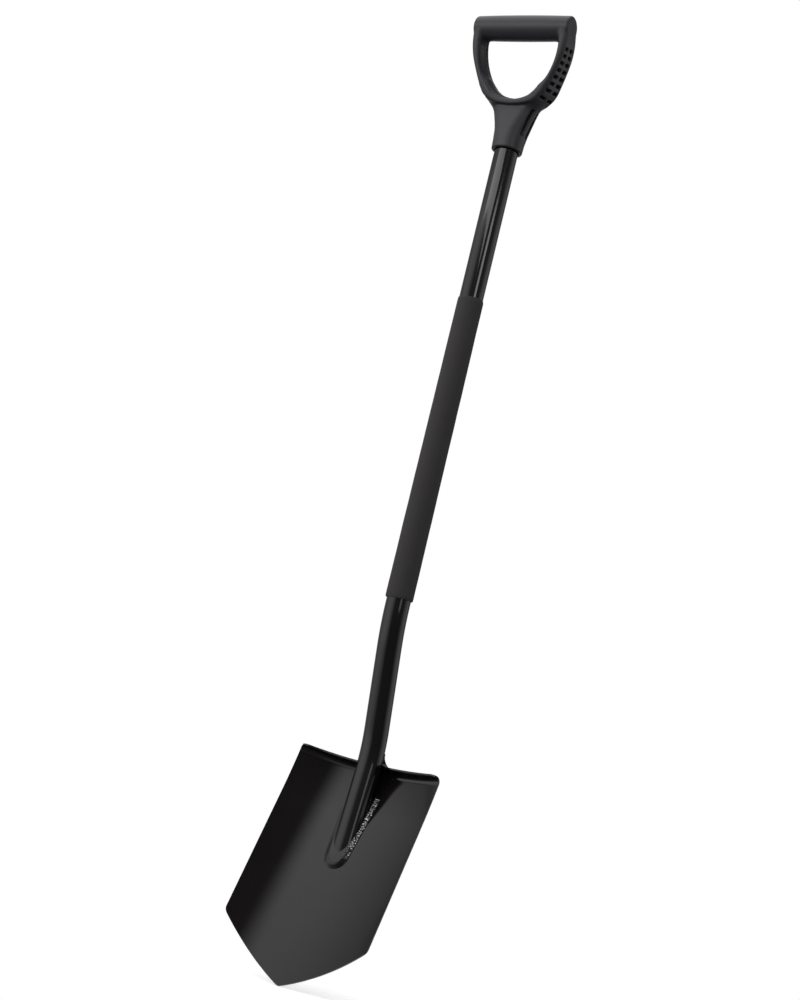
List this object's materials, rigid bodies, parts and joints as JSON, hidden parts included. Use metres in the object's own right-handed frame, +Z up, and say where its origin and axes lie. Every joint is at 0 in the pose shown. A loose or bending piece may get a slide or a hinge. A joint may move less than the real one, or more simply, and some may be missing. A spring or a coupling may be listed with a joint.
{
  "type": "pointed spade",
  "caption": "Pointed digging spade: dished steel blade with a folded tread, cranked tube shaft with a foam sleeve, and a moulded D-grip leaning forward.",
  "frame": {"origin": "on the shaft's axis, halfway along the bare tube between the D-grip and the foam sleeve", "axes": "+Z up the straight upper shaft toward the D-grip, the blade's working face and the grip's lean are toward -Y, +X is the right side seen from the working face"},
  "size_m": [0.1926, 0.1125, 1.2047],
  "materials": {
    "gloss_black_paint": "gloss, a little orange peel",
    "painted_weld": "gloss paint over weld beads",
    "black_foam": "matte closed-cell foam",
    "black_plastic": "satin moulded plastic",
    "zinc_steel": "zinc plated"
  },
  "bodies": {
    "root": {"blade": "gloss_black_paint", "shaft_tube": "gloss_black_paint", "foot_weld_right": "painted_weld", "foot_weld_left": "painted_weld", "tread_weld": "painted_weld", "foam_sleeve": "black_foam", "d_grip": "black_plastic", "grip_screw": "zinc_steel"}
  },
  "joints": []
}
